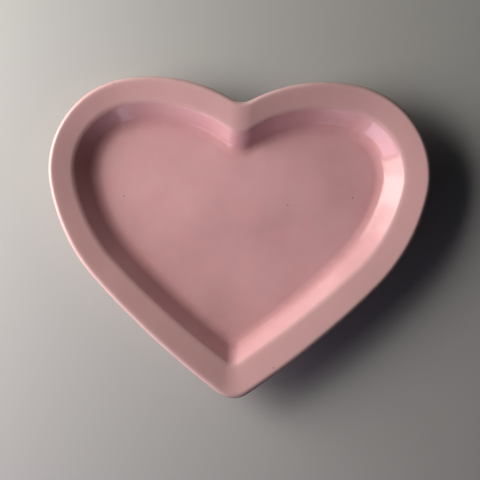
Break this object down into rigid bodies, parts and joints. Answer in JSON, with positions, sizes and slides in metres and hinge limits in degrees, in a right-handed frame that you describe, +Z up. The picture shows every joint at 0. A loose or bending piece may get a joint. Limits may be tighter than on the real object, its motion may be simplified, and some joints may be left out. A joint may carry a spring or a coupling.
{
  "type": "heart-shaped trinket dish",
  "caption": "Shallow heart-shaped trinket dish in pink glazed ceramic, with a flat sloping rim, a rounded well and a low foot ring.",
  "frame": {"origin": "on the table, under the middle of the dish", "axes": "+X across the two lobes, +Y from the tip towards the cleft, +Z up out of the well"},
  "size_m": [0.1502, 0.1256, 0.0161],
  "materials": {
    "pink_glaze": "gloss"
  },
  "bodies": {
    "root": {"dish": "pink_glaze"}
  },
  "joints": []
}
